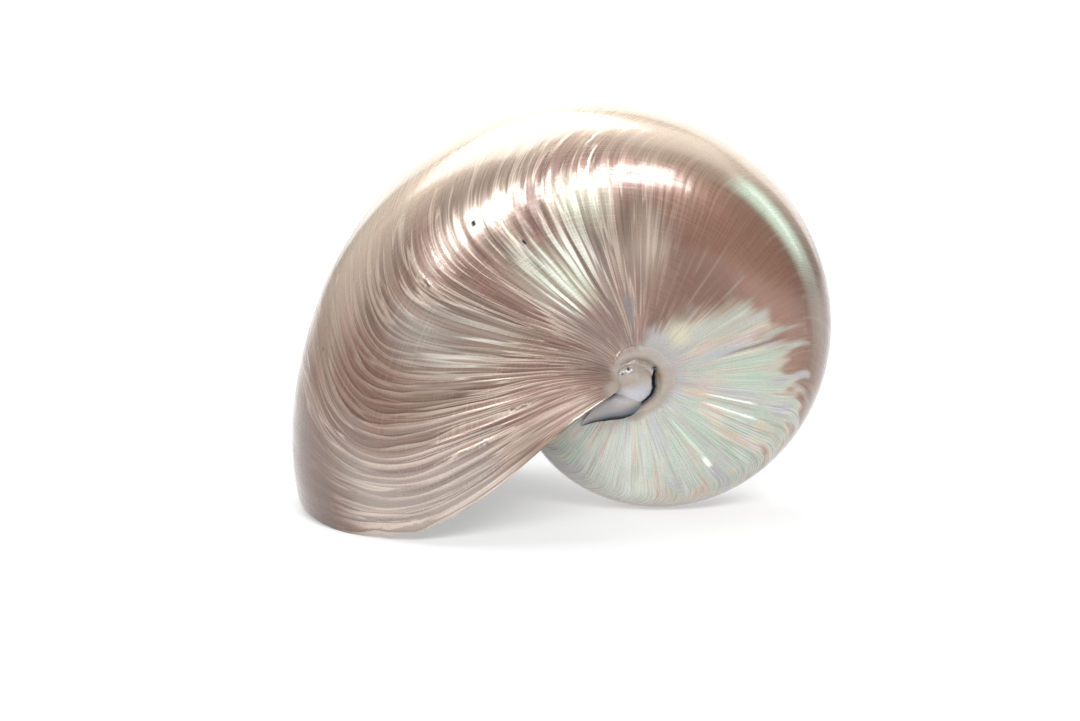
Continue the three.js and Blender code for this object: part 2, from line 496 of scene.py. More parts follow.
# ---------------------------------------------------------------- the umbilicus
# Places here are in millimetres from the coiling axis, and heights from the middle plane. Angles
# round the plug are in degrees from +X towards +Z.

PLUG_X, PLUG_Z = -0.6, -2.4
PLUG_RADIUS = 6.2
PLUG_HEIGHT = 26.0
PLUG_TILT_X, PLUG_TILT_Z = -0.36, 0.30
PLUG_DROP = 3.0  # from its top to its rim
PLUG_FALL = 4.0  # how steeply it falls past the rim
COLLAR_OUT = 9.3
COLLAR_WIDTH = 2.2
COLLAR_RISE = 1.5
CALLUS_NARROW, CALLUS_WIDE = 7.9, 14.6  # reach from the plug, beside the lip and elsewhere
CRACK_WIDTH = 0.9
CRACK_STARTS = (-112.0, -92.0)
CRACK_ENDS = (22.0, 44.0)
PITS = ((-2.05, 3.2, 0.5), (-3.8, 1.85, 0.4), (5.9, 2.4, 0.6))  # places and radii of pinholes
PIT_DEPTH = 0.12
OCHRE_SPOT = (7.6, 0.1, 0.95)

# The tongue: its middle, half its length, depth and width, and how it leans, curls and tips.
TONGUE_X, TONGUE_Y, TONGUE_Z = -6.9, -18.0, -11.5
TONGUE_LENGTH, TONGUE_DEPTH, TONGUE_WIDTH = 9.4, 6.0, 3.6
TONGUE_LEAN = 14.0  # degrees
TONGUE_CURL = 2.6
TONGUE_TIP_Y, TONGUE_TIP_Z = -7.0, 1.75


def flank_at(x, z):
    """Height of the shell's flank, and the turn and the angle of the spiral there."""
    angle = np.degrees(np.arctan2(z, x))
    angle = np.where(angle < LIP_ANGLE - 360.0, angle + 360.0, angle)
    flare = 1.0 + FLARE * smoothstep(FLARE_FROM, FLARE_TO, angle)
    radius = keel_radius(angle) * flare / MM
    share = np.clip(np.hypot(x, z) / radius, UMBILICUS_RADIUS, 1.0)
    on_back = share > WIDEST_AT
    reach = np.where(on_back, 1.0 - WIDEST_AT, WIDEST_AT - UMBILICUS_RADIUS)
    power = np.where(on_back, BACK_ROUNDNESS, SHOULDER_ROUNDNESS)
    least = np.where(on_back, 0.0, UMBILICUS_WIDTH)
    c = np.abs(share - WIDEST_AT) / reach
    side = least + (1.0 - least) * (1.0 - c**power) ** (1.0 / power)
    turn = np.degrees(np.arccos(np.where(on_back, 1.0, -1.0) * c ** (power / 2.0)))
    return HALF_WIDTH * radius * side, turn, angle


def callus_reach(around):
    """How far the callus goes from the plug's middle: it stops short of the lip, where the grown
    flank stands far above the young one."""
    wide = smoothstep(-114.0, -96.0, around) * (1.0 - smoothstep(96.0, 150.0, around))
    return lerp(CALLUS_NARROW, CALLUS_WIDE, wide), wide


def callus_surface(x, z):
    """The callus over the umbilicus. A plug of enamel runs out of the grown flank over the
    coiling axis. A collar rings it on the young whorl, and a crack runs between the two.
    Returns the height, and the shares of callus, painted reflection on the plug's lower part,
    painted shade in the crack, under the plug and in the pits, and ochre staining."""
    flank, _, angle = flank_at(x, z)
    right, up = x - PLUG_X, z - PLUG_Z
    out = np.hypot(right, up)
    around = np.degrees(np.arctan2(up, right))
    reach, wide = callus_reach(around)
    ragged = plane_noise(around / 17.0 + 60.0, 5.0, 31)
    ragged = ragged + 0.2 * plane_noise(around / 5.0 + 140.0, 5.0, 32) - 0.6
    lumps = plane_noise(x / 2.8 + 20.0, z / 2.8 + 20.0, 33)
    lumps = lumps + 0.4 * plane_noise(x + 40.0, z + 40.0, 34) - 0.7
    crack_at = PLUG_RADIUS + 0.5 * CRACK_WIDTH + 0.9 * ragged
    crack_at = crack_at + 1.1 * smoothstep(12.0, 38.0, around)
    edge = crack_at - 0.5 * CRACK_WIDTH

    dome = PLUG_HEIGHT + PLUG_TILT_X * right + PLUG_TILT_Z * up + 0.5 * lumps
    dome -= PLUG_DROP * (1.0 - np.sqrt(1.0 - np.clip(out / PLUG_RADIUS, 0.0, 1.0) ** 2))
    dome -= PLUG_FALL * np.maximum(out - edge, 0.0)
    collar = flank + wide * (COLLAR_RISE * hump(out - COLLAR_OUT, COLLAR_WIDTH) + 0.3 * lumps)
    # Beside the lip the flank gives way to the plug alone.
    collar = lerp(collar, np.minimum(collar, dome - 3.0), smoothstep(196.0, 210.0, angle))
    merged = smooth_max(dome, collar, 1.0)
    bank = smoothstep(crack_at + 0.2 * CRACK_WIDTH, crack_at + 1.4 * CRACK_WIDTH, out)
    split = np.where(out < edge, dome, lerp(flank + 0.1, collar, bank))
    cracked = smoothstep(*CRACK_STARTS, around) * (1.0 - smoothstep(*CRACK_ENDS, around))
    height = lerp(merged, split, cracked) - 0.7 * smoothstep(0.84, 0.99, out / reach)

    fades_from, fades_to = lerp(6.0, 10.4, wide), lerp(9.4, 13.6, wide)
    callus = 1.0 - smoothstep(fades_from, fades_to, out + 2.0 * ragged)
    # Painted reflection: the plug's lower part is painted a paler lilac.
    glaze = (1.0 - smoothstep(-3.6, 2.0, up - 0.2 * right)) * (out < edge)
    # Painted shade: dark paint in the crack, fainter in a line under the plug, and in the pits.
    stain = cracked * hump(out - crack_at, 0.7 * CRACK_WIDTH, 4)
    seam = (1.0 - cracked) * smoothstep(30.0, 60.0, np.abs(around + 10.0)) * (up < 0.0)
    stain = np.maximum(stain, 0.35 * seam * hump(out - crack_at, 0.5 * CRACK_WIDTH, 4))
    # Each pit is sunk a little and painted dark: painted shade.
    for pit_x, pit_z, radius in PITS:
        pit = hump(np.hypot(x - pit_x, z - pit_z), radius)
        height, stain = height - PIT_DEPTH * pit, np.maximum(stain, pit)
    spot_x, spot_z, radius = OCHRE_SPOT
    ochre = hump(np.hypot(x - spot_x, z - spot_z), radius)
    return height, {"callus": callus, "glaze": glaze, "stain": stain, "ochre": ochre}


def build_plug(name):
    """A thin lens, round as seen from the side, whose face takes the shape of the callus."""
    add_sphere = bpy.ops.mesh.primitive_uv_sphere_add
    plug = new_primitive(name, add_sphere, segments=240, ring_count=150, radius=1.0)
    co = coordinates(plug)
    # The upper half of the sphere becomes the face, and the lower half the underside.
    tilt = np.degrees(np.arccos(np.clip(co[:, 2], -1.0, 1.0))) / 90.0
    around = np.arctan2(co[:, 1], co[:, 0])
    share = np.where(tilt > 1.0, 2.0 - tilt, tilt)
    out = callus_reach(np.degrees(around))[0] * share
    x, z = PLUG_X + out * np.cos(around), PLUG_Z + out * np.sin(around)
    height, shares = callus_surface(x, z)
    height -= np.where(tilt > 1.0, np.minimum(1.0, 12.0 * (1.0 - share)), 0.0)
    set_coordinates(plug, np.stack([x, -height, z], axis=1) * MM)
    turn, angle = flank_at(x, z)[1:]
    age = angle
    for _ in range(3):
        age = angle + hang_back(age, turn)
    for layer, values in {"growth": age, "girth": turn, **shares}.items():
        set_attribute(plug, layer, values)
    return plug


def build_tongue(name):
    """The lobe of callus that runs from the plug along the inner corner of the mouth."""
    add_sphere = bpy.ops.mesh.primitive_ico_sphere_add
    tongue = new_primitive(name, add_sphere, subdivisions=5, radius=1.0)
    co = coordinates(tongue)
    along, across = co[:, 0].copy(), co[:, 2].copy()
    uneven = plane_noise(along * 2.5 + 30.0, across * 1.5 + 30.0, 41) - 0.5
    thin = lerp(0.45, 1.05, smoothstep(-1.0, 0.2, along)) * (1.0 + 0.3 * uneven)
    upper = 1.0 + 0.5 * smoothstep(0.0, 0.6, across) * smoothstep(0.6, -0.2, along)
    length = TONGUE_LENGTH * along
    depth = TONGUE_DEPTH * thin * co[:, 1]
    width = TONGUE_WIDTH * thin * upper * across
    lean = math.radians(TONGUE_LEAN)
    x = TONGUE_X + length * math.cos(lean) - width * math.sin(lean)
    z = TONGUE_Z + length * math.sin(lean) + width * math.cos(lean)
    z -= TONGUE_CURL * np.minimum(along, 0.0) ** 2
    # Its upper side stands forward, up to the inside of the lip.
    y = TONGUE_Y + depth + TONGUE_TIP_Y * across
    set_coordinates(tongue, np.stack([x, y, z + TONGUE_TIP_Z * across], axis=1) * MM)
    set_attribute(tongue, "growth", np.full(len(co), LIP_ANGLE))
    set_attribute(tongue, "girth", 150.0 + 20.0 * along)
    set_attribute(tongue, "callus", np.ones(len(co)))
    # Its upper side is painted paler, a painted highlight, and its lower edge dark, a painted
    # shade.
    set_attribute(tongue, "glaze", 0.4 * smoothstep(-0.2, 0.5, across))
    set_attribute(tongue, "ochre", np.zeros(len(co)))
    set_attribute(tongue, "stain", 0.95 * smoothstep(0.42, -0.75, across + 0.3 * uneven))
    return tongue


def build_callus(name, side):
    """The plug and the tongue as one piece, on the near side or, mirrored, on the far side."""
    plug, tongue = build_plug(name), build_tongue(name + "_tongue")
    activate(plug, tongue)
    bpy.ops.object.join()
    co = coordinates(plug)
    co[:, 1] *= side
    set_coordinates(plug, co + np.array(AXIS))
    edit(plug, take_all, face_outwards)
    activate(plug)
    bpy.ops.object.shade_smooth()
    return plug


def blend_callus(whorl):
    """Carries the callus's colour on over the flanks around it."""
    co = coordinates(whorl) / MM
    near_plug = on_outside(whorl) & (np.hypot(co[:, 0], co[:, 2]) < 20.0)
    callus = np.zeros(len(co))
    callus[near_plug] = callus_surface(co[near_plug, 0], co[near_plug, 2])[1]["callus"]
    set_attribute(whorl, "callus", callus)


def stand_on_table(piece):
    """Wears flat what would reach below the table."""
    co = coordinates(piece)
    co[:, 2] = np.maximum(co[:, 2], 0.0)
    set_coordinates(piece, co)


whorl = build_whorl()
lay_growth_lines(whorl)
raise_growth_ridges(whorl)
blend_callus(whorl)
set_coordinates(whorl, coordinates(whorl) + np.array(AXIS))
stand_on_table(whorl)
activate(whorl)
bpy.ops.object.shade_smooth_by_angle(angle=math.radians(50.0))
near_callus = build_callus("callus_near", 1.0)
far_callus = build_callus("callus_far", -1.0)


# ---------------------------------------------------------------- finishes


class Value:
    """A socket that can be used in sums. Each sum on values adds its Math node."""

    def __init__(self, paint, socket):
        self.paint, self.socket = paint, socket

    def math(self, operation, *terms):
        return self.paint.node("ShaderNodeMath", {"operation": operation}, terms)

    def __add__(self, other):
        return self.math("ADD", self, other)

    def __mul__(self, other):
        return self.math("MULTIPLY", self, other)

    def __sub__(self, other):
        return self.math("SUBTRACT", self, other)

    def __rsub__(self, other):
        return self.math("SUBTRACT", other, self)

    def __abs__(self):
        return self.math("ABSOLUTE", self)

    __radd__, __rmul__ = __add__, __mul__

    def fraction(self):
        return self.math("FRACT", self)


class Paint:
    """One material and the nodes that make it."""

    def __init__(self, name):
        self.material = bpy.data.materials.new(name)
        self.material.use_nodes = True
        self.tree = self.material.node_tree
        self.shader = self.tree.nodes["Principled BSDF"]

    def node(self, kind, settings, inputs=(), output=0):
        """Adds a node: its settings, then its inputs, in order or by name or number."""
        made = self.tree.nodes.new(kind)
        for key, setting in settings.items():
            if key == "stops":
                set_stops(made.color_ramp, setting)
            else:
                setattr(made, key, setting)
        for key, given in inputs.items() if isinstance(inputs, dict) else enumerate(inputs):
            self.feed(made.inputs[key], given)
        return Value(self, made.outputs[output])

    def feed(self, socket, given):
        if isinstance(given, Value):
            self.tree.links.new(given.socket, socket)
        elif isinstance(given, tuple) and socket.type == "RGBA":
            socket.default_value = (*given, 1.0)
        else:
            socket.default_value = given

    def ramp(self, value, *stops):
        return self.node("ShaderNodeValToRGB", {"stops": stops}, [value])

    def step(self, value, low, high, first=0.0, last=1.0):
        """A smooth step from first to last as the value goes from low to high."""
        settings = {"interpolation_type": "SMOOTHSTEP"}
        return self.node("ShaderNodeMapRange", settings, [value, low, high, first, last])

    def mix(self, amount, a, b):
        settings = {"data_type": "RGBA"}
        return self.node("ShaderNodeMix", settings, {0: amount, 6: a, 7: b}, output=2)

    def finish(self, **sockets):
        for name, given in sockets.items():
            self.feed(self.shader.inputs[name.replace("_", " ")], given)
        return self.material


class ShellPaint(Paint):
    """Paint laid out by growth and girth, so that it follows the shell's growth lines."""

    def __init__(self, name):
        super().__init__(name)
        self.age, self.girth = self.attribute("growth"), self.attribute("girth")
        self.turn = abs(self.girth)
        self.fine = self.grain(1.5, 0.03, 0.0, 1.0)
        self.lines = self.grain(0.45, 0.022, 4.0, 1.5)
        self.bands = self.grain(0.17, 0.03, 7.0, 1.5)
        self.broad = self.grain(0.05, 0.03, 9.0, 2.0)
        self.patches = self.grain(0.045, 0.06, 17.0, 1.0)
        self.wedges = self.grain(0.11, 0.016, 31.0, 1.0)
        self.uneven = self.grain(0.3, 0.35, 27.0, 2.0) - 0.5
        # The back is calmer than the flanks.
        self.calm_back = self.step(self.turn, 22.0, 68.0, 0.3, 1.0)

    def attribute(self, name):
        return self.node("ShaderNodeAttribute", {"attribute_name": name}, output="Fac")

    def grain(self, per_age, per_girth, layer, detail):
        """Noise with this many lumps per degree of age and of girth."""
        place = [self.age * per_age, self.girth * per_girth, layer]
        place = self.node("ShaderNodeCombineXYZ", {}, place)
        inputs = {"Vector": place, "Scale": 1.0, "Detail": detail}
        return self.node("ShaderNodeTexNoise", {}, inputs)

    def spot(self, off_age, length, off_turn, width, share, core=(0.0, 0.0)):
        """A soft spot: a share in the middle, and nothing past its length and width. The core is
        the part of each that is solid."""
        along = self.step(abs(off_age), length, length * core[0], 0.0, share)
        return along * self.step(abs(off_turn), width, width * core[1])


def set_stops(ramp, stops):
    while len(ramp.elements) < len(stops):
        ramp.elements.new(0.5)
    for element, (position, tone) in zip(ramp.elements, stops):
        element.position = position
        element.color = (*tone, 1.0)


def colour(red, green, blue):
    """A colour given as the eye reads it, turned into light."""
    return tuple(
        c / 12.92 if c <= 0.04045 else ((c + 0.055) / 1.055) ** 2.4 for c in (red, green, blue)
    )


UMBER = colour(0.41, 0.315, 0.28)
MAUVE = colour(0.47, 0.37, 0.33)
ROSE = colour(0.57, 0.44, 0.405)
FAWN = colour(0.585, 0.485, 0.43)
OLIVE_GREY = colour(0.51, 0.48, 0.425)
LIGHT_BROWN = colour(0.53, 0.39, 0.325)
BROWN = colour(0.40, 0.25, 0.185)
CLAY = colour(0.48, 0.36, 0.305)
WHITE = colour(0.95, 0.97, 0.92)
PEARL = colour(0.80, 0.735, 0.675)
CREAM = colour(0.86, 0.79, 0.71)
SILVER = colour(0.69, 0.695, 0.66)
PALE_SILVER = colour(0.79, 0.80, 0.765)
TAUPE = colour(0.62, 0.585, 0.54)
PALE_GREEN = colour(0.80, 0.83, 0.74)
MINT = colour(0.60, 0.71, 0.63)
BRIGHT_MINT = colour(0.78, 0.85, 0.77)
PINK = colour(0.77, 0.65, 0.61)
LEMON = colour(0.77, 0.74, 0.62)
LILAC = colour(0.62, 0.61, 0.66)
LIP_GREY = colour(0.72, 0.68, 0.655)
SLATE = colour(0.45, 0.43, 0.43)
ENAMEL = colour(0.61, 0.565, 0.51)
GREY_ENAMEL = colour(0.60, 0.55, 0.53)
PAINTED_REFLECTION_LILAC = colour(0.73, 0.73, 0.765)
PAINTED_SHADE_BLUE = colour(0.42, 0.47, 0.53)
RUST = colour(0.30, 0.20, 0.16)
OCHRE = colour(0.62, 0.50, 0.34)
PAINTED_SHADE_BLACK = colour(0.06, 0.06, 0.06)

PLAY_OF_COLOUR = (
    (0.33, LILAC),
    (0.42, SILVER),
    (0.50, MINT),
    (0.55, SILVER),
    (0.60, LEMON),
    (0.68, PINK),
)

# Tints and painted light: age and turn of the middle, length, width, colour and share. The notes
# above each group say which are tints of the nacre and which are painted highlights, painted
# reflections and painted shade.
TINTS_AND_PAINTED_LIGHT = (
    # Painted highlights, just below where the lamps' highlights fall.
    (107.0, 66.0, 14.0, 17.0, PALE_GREEN, 0.85),
    (126.0, 90.0, 20.0, 20.0, PALE_GREEN, 0.8),
    (140.0, 57.0, 20.0, 14.0, PEARL, 0.55),
    (167.0, 68.0, 14.0, 20.0, SILVER, 0.7),
    # Darker, warmer patches on the left flank and towards the umbilicus.
    (182.0, 60.0, 24.0, 28.0, CLAY, 0.8),
    (130.0, 120.0, 48.0, 24.0, UMBER, 0.8),
    # A painted highlight below the right softbox's highlight.
    (86.0, 80.0, 12.0, 18.0, PEARL, 0.5),
    # A greyer patch on the young whorl.
    (27.0, 88.0, 12.0, 16.0, TAUPE, 0.7),
    # A painted reflection of the pale table, low on the young whorl.
    (-90.0, 52.0, 14.0, 20.0, WHITE, 0.5),
    # Painted shade along the young rim, where it turns under.
    (-70.0, 24.0, 70.0, 16.0, TAUPE, 0.7),
    # Warm tints near the lip.
    (184.0, 44.0, 14.0, 12.0, LIGHT_BROWN, 0.6),
    (177.0, 38.0, 6.0, 8.0, PINK, 0.5),
    # Cream on the back near the lip: a paler tint, and partly a painted reflection.
    (184.0, 14.0, 16.0, 14.0, CREAM, 0.6),
    # Darker towards the umbilicus near the lip.
    (172.0, 140.0, 28.0, 22.0, UMBER, 0.8),
    # The young whorl's own pale colours.
    (-10.0, 100.0, 14.0, 15.0, PINK, 0.85),
    (1.5, 78.0, 14.0, 24.0, MINT, 0.85),
    (48.0, 112.0, 18.0, 13.0, LEMON, 0.85),
    (17.0, 92.0, 8.0, 20.0, LILAC, 0.7),
    (-55.0, 85.0, 36.0, 26.0, MINT, 0.3),
    # A painted reflection of the pale table, low on the young whorl.
    (-95.0, 70.0, 50.0, 50.0, PALE_SILVER, 0.9),
)

# Painted highlights: white painted on the crests of the lines where the folds would catch the
# light, laid out as the table above.
PAINTED_GLINTS = (
    (120.0, 84.0, 20.0, 16.0, WHITE, 0.9),
    (134.0, 98.0, 12.0, 12.0, WHITE, 0.75),
    (165.0, 84.0, 16.0, 14.0, WHITE, 0.35),
)

# Marks on the near side: age and girth of the middle, length, width, waver, colour and share.
MARKS = (
    # Pinholes, painted black: painted shade in the holes.
    (136.5, -58.2, 0.8, 1.5, 0.0, PAINTED_SHADE_BLACK, 1.0),
    (127.6, -74.7, 0.7, 1.3, 0.0, PAINTED_SHADE_BLACK, 1.0),
    (107.0, -33.0, 0.6, 9.0, 1.5, WHITE, 0.7),
    (103.4, -45.0, 0.5, 7.0, 1.5, WHITE, 0.6),
    (189.2, -29.0, 0.35, 0.8, 0.0, UMBER, 0.8),
    (98.6, -110.7, 5.5, 11.0, 2.0, SLATE, 0.85),
    (91.0, -118.0, 6.0, 6.0, 2.0, ROSE, 0.7),
    (154.2, -61.9, 0.7, 2.6, 3.0, UMBER, 0.8),
    (155.3, -60.0, 0.6, 4.0, 3.0, PEARL, 0.7),
    (200.6, -89.5, 0.6, 7.0, 5.0, CREAM, 0.9),
    (201.6, -90.5, 0.5, 6.0, 5.0, SLATE, 0.5),
    (193.5, -104.0, 0.5, 10.0, 4.0, PEARL, 0.6),
    (194.6, -103.0, 0.5, 9.0, 4.0, SLATE, 0.5),
    (15.0, -76.0, 1.2, 20.0, 1.0, BROWN, 0.6),
    (12.6, -84.0, 0.8, 16.0, 1.0, LEMON, 0.8),
    (-14.0, -84.0, 0.9, 16.0, 1.0, WHITE, 0.7),
    (-17.0, -84.0, 1.0, 18.0, 1.0, TAUPE, 0.8),
    (-21.0, -80.0, 1.0, 18.0, 1.0, WHITE, 0.8),
    (-51.0, -84.0, 1.2, 22.0, 1.0, BRIGHT_MINT, 0.7),
    (-51.5, -67.0, 1.8, 6.0, 1.0, WHITE, 0.9),
    # Painted highlights along the lip's edge and on a chip.
    (214.3, -136.0, 0.9, 16.0, 1.5, WHITE, 0.9),
    (213.9, -62.0, 0.7, 16.0, 1.5, CREAM, 0.5),
    (212.6, -60.0, 0.4, 18.0, 1.5, SLATE, 0.6),
)
MARK_CORE = (0.3, 0.4)  # the part of a mark's length and width that is solid


def grown_colour(paint):
    """The grown shell: dusky mauve, banded along the growth lines, most of all near the lip."""
    age, turn, lines, broad = paint.age, paint.turn, paint.lines, paint.broad
    contrast = paint.step(age, 55.0, 100.0, 0.65, 1.1) - paint.step(age, 130.0, 155.0, 0.0, 0.3)
    contrast = (contrast + paint.step(age, 176.0, 204.0, 0.0, 1.1)) * paint.calm_back
    banding = paint.bands * 0.42 + lines * 0.44 + paint.fine * 0.14
    banding = (banding - 0.5) * contrast + 0.5
    body = paint.ramp(banding, (0.34, UMBER), (0.45, MAUVE), (0.55, FAWN), (0.68, PEARL))
    body = paint.mix(paint.step(broad, 0.42, 0.60, 0.0, 0.45), body, ROSE)
    body = paint.mix(paint.step(broad, 0.55, 0.36, 0.0, 0.35), body, OLIVE_GREY)
    # Each growth terrace ends in a thin dark line with a pale one beside it: painted shade and a
    # painted highlight at the terrace's step.
    drawn = paint.step(age, 60.0, 120.0, 0.15, 0.65)
    body = paint.mix(drawn * paint.step(abs(lines - 0.5), 0.035, 0.004), body, UMBER)
    body = paint.mix(drawn * paint.step(abs(lines - 0.56), 0.035, 0.004), body, PEARL)
    # Near the lip the terraces are even: pale at first, and dark where each ends, a painted
    # highlight and painted shade on each step.
    terrace = (age * 0.4 + paint.bands * 2.4 + lines * 0.5).fraction()
    near_lip = paint.step(age, 152.0, 180.0) * paint.step(turn, 22.0, 50.0)
    near_lip = near_lip * paint.step(broad, 0.35, 0.5, 0.4, 1.0)
    body = paint.mix(near_lip * paint.step(terrace, 0.5, 0.05, 0.0, 0.7), body, PEARL)
    body = paint.mix(near_lip * paint.step(terrace, 0.76, 0.95, 0.0, 0.9), body, UMBER)
    # Towards the young whorl it turns brown.
    brown = paint.mix(paint.step(abs(turn - 62.0), 6.0, 24.0), LIGHT_BROWN, BROWN)
    brown = paint.mix(paint.step(lines, 0.54, 0.66, 0.0, 0.4), brown, FAWN)
    return paint.mix(paint.step(age, 100.0, 60.0, 0.0, 0.9), body, brown)


def young_colour(paint):
    """The young whorl: silver, with soft patches of pale colours and fine rays; its paleness is
    partly its own and partly a painted reflection of the pale table.
    """
    lines, fine = paint.lines, paint.fine
    patchwork = paint.wedges * 0.5 + paint.patches * 0.2 + paint.bands * 0.3
    play = paint.ramp((patchwork - 0.5) * 2.1 + 0.5, *PLAY_OF_COLOUR)
    play = paint.mix(paint.step(lines, 0.42, 0.62, 0.15, 0.6), play, SILVER)
    play = paint.mix(paint.step(fine, 0.55, 0.68, 0.0, 0.75), play, PALE_SILVER)
    play = paint.mix(paint.step(fine * 0.5 + lines * 0.5, 0.47, 0.38, 0.0, 0.8), play, TAUPE)
    play = paint.mix(paint.step(paint.turn, 108.0, 118.0, 0.0, 0.5), play, LILAC)
    return paint.mix(paint.step(paint.age, -30.0, 10.0, 0.0, 0.3), play, TAUPE)


def join_young_and_grown(paint, grown, young):
    """The silver runs out into the brown in streaks, furthest on the flank."""
    streaks = (paint.lines - 0.5) * 28.0 + (paint.fine - 0.5) * 12.0 + (paint.patches - 0.5) * 24.0
    fingers = (paint.bands - 0.5) * paint.step(paint.turn, 88.0, 52.0, 10.0, 110.0)
    border = paint.age - paint.turn + streaks + fingers
    return paint.mix(paint.step(border, -38.0, -60.0), grown, young)


def colour_back_and_lip(paint, surface):
    """The back is painted paler, partly its own tint and partly a painted reflection from above,
    most of all on the grown shell, and brown again at the lip.
    """
    age, turn = paint.age, paint.turn
    # Cream on the back: partly a painted reflection from above.
    back = paint.step(turn, 56.0, 16.0) * paint.step(age, 10.0, 80.0, 0.2, 0.85)
    surface = paint.mix(back * paint.step(age, 174.0, 198.0, 1.0, 0.1), surface, CREAM)
    # The last growth, at the lip, is thin and pale, but brown towards the back.
    pale = paint.step(age, 186.0, 206.0, 0.0, 0.4) * paint.step(turn, 40.0, 62.0)
    surface = paint.mix(pale * paint.step(turn, 104.0, 84.0), surface, LIP_GREY)
    corner = paint.step(age, 192.0, 210.0) * paint.step(turn, 58.0, 36.0, 0.0, 0.95)
    surface = paint.mix(corner, surface, UMBER)
    # A green band runs along the shoulder of the young back, partly its tint and partly a painted
    # reflection, with a dark line outside it.
    band = paint.step(turn, 25.0, 31.0) * paint.step(turn, 44.0, 37.0)
    band = band * paint.step(age, -6.0, 44.0) * paint.step(age, 70.0, 60.0, 0.0, 0.85)
    green = paint.mix(paint.step(age, 20.0, 50.0), TAUPE, BRIGHT_MINT)
    surface = paint.mix(band, surface, green)
    outside_band = paint.step(turn, 17.0, 22.0) * paint.step(turn, 30.0, 25.0)
    return paint.mix(outside_band * paint.step(age, 70.0, 40.0, 0.0, 0.3), surface, SLATE)


def lay_tints_and_painted_light(paint, surface):
    """Lays patches of tint, painted highlights, painted reflections and painted shade, and white
    painted highlights on the crests of the lines.
    """
    follow_lines = paint.step(paint.lines, 0.38, 0.6, 0.45, 1.0)
    for at_age, at_turn, length, width, tone, share in TINTS_AND_PAINTED_LIGHT:
        sheen = paint.spot(paint.age - at_age, length, paint.turn - at_turn, width, share)
        surface = paint.mix(sheen * follow_lines, surface, tone)
    on_crests = paint.step(paint.lines, 0.46, 0.56)
    for at_age, at_turn, length, width, tone, share in PAINTED_GLINTS:
        painted_glint = paint.spot(paint.age - at_age, length, paint.turn - at_turn, width, share)
        surface = paint.mix(painted_glint * on_crests, surface, tone)
    return surface


def set_marks(paint, surface):
    """Sets the marks of the near side. Returns the surface and where its pinholes are."""
    pinholes = 0.0
    for at_age, at_girth, length, width, waver, tone, share in MARKS:
        off_age = paint.age - at_age + paint.uneven * waver
        mark = paint.spot(off_age, length, paint.girth - at_girth, width, share, MARK_CORE)
        surface = paint.mix(mark, surface, tone)
        # The marks painted black are pinholes, painted shade.
        if tone == PAINTED_SHADE_BLACK:
            pinholes = mark + pinholes
    return surface, pinholes


def lay_callus(paint, surface, callus, stain):
    """Callus fills the umbilicus. A pale lilac painted reflection lies over the plug's lower part
    and the tongue's upper side. Painted shade, blue-grey to black, lies in the crack, under the
    plug, in the pits and along the tongue's lower edge.
    """
    cloud = paint.grain(0.08, 0.09, 13.0, 3.0)
    enamel = paint.mix(paint.step(cloud, 0.4, 0.6), ENAMEL, GREY_ENAMEL)
    enamel = paint.mix(paint.attribute("glaze"), enamel, PAINTED_REFLECTION_LILAC)
    enamel = paint.mix(paint.attribute("ochre"), enamel, OCHRE)
    surface = paint.mix(callus, surface, enamel)
    # Painted shade: blue-grey, and black where it is deepest.
    surface = paint.mix(paint.step(stain, 0.0, 0.55), surface, PAINTED_SHADE_BLUE)
    return paint.mix(paint.step(stain, 0.45, 0.9), surface, PAINTED_SHADE_BLACK)


def polished_nacre():
    paint = ShellPaint("polished_nacre")
    age, turn, wall = paint.age, paint.turn, paint.attribute("wall")
    callus, stain = paint.attribute("callus"), paint.attribute("stain")
    young = young_colour(paint)
    surface = join_young_and_grown(paint, grown_colour(paint), young)
    surface = colour_back_and_lip(paint, surface)
    # The hollow beside the umbilicus was hard to polish, and stayed dull; it is also painted
    # darker mauve, a painted shade.
    hollow = paint.step(turn, 92.0, 108.0) * paint.step(age, 172.0, 192.0)
    surface = paint.mix(hollow * 0.55, surface, MAUVE)
    surface = lay_tints_and_painted_light(paint, surface)
    surface, pinholes = set_marks(paint, surface)
    # The lip's edge is painted dark rust brown in patches where it meets the young whorl, and the
    # inside is silver.
    worn = paint.step(wall, 0.1, 0.3) * paint.step(turn, 104.0, 116.0)
    surface = paint.mix(worn * paint.step(paint.uneven, -0.1, 0.08), surface, RUST)
    surface = paint.mix(paint.step(wall, 0.55, 0.95, 0.0, 0.8), surface, young)
    surface = lay_callus(paint, surface, callus, stain)

    # Polishing left fine scratches along the spiral, which cross the growth lines.
    scratches = paint.step(paint.grain(0.07, 1.1, 21.0, 2.0), 0.5, 0.64)
    scratches = scratches * paint.step(paint.broad, 0.40, 0.55, 0.35, 1.0)
    spiral = paint.grain(0.03, 0.9, 6.0, 2.0)
    height = paint.lines + paint.fine * 0.25 + spiral * 0.2
    height = height * (1.0 - callus) * paint.calm_back
    relief = {"Strength": 0.38, "Distance": 0.25 * MM, "Height": height}
    dull = stain + pinholes
    roughness = paint.step(paint.fine, 0.3, 0.7, 0.22, 0.34)
    return paint.finish(
        Base_Color=surface,
        Roughness=roughness + dull * 0.4 + hollow * 0.2 + scratches * 0.1,
        Metallic=(1.0 - callus) * (0.32 - pinholes * 0.32),
        Coat_Weight=(1.0 - dull) * (1.0 - hollow * 0.85) * (1.0 - scratches * 0.6),
        Coat_Roughness=0.14,
        Normal=paint.node("ShaderNodeBump", {}, relief),
    )


nacre = polished_nacre()
for piece in (whorl, near_callus, far_callus):
    piece.data.materials.clear()
    piece.data.materials.append(nacre)
    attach(piece, "root")
    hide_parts("shell")


# ---------------------------------------------------------------- table, light and camera
# Lamps aim at the middle of the shell. Azimuth is from the camera's side, rising to its right.

LAMPS_AIM_AT = Vector((0.0, 0.0, 0.06))
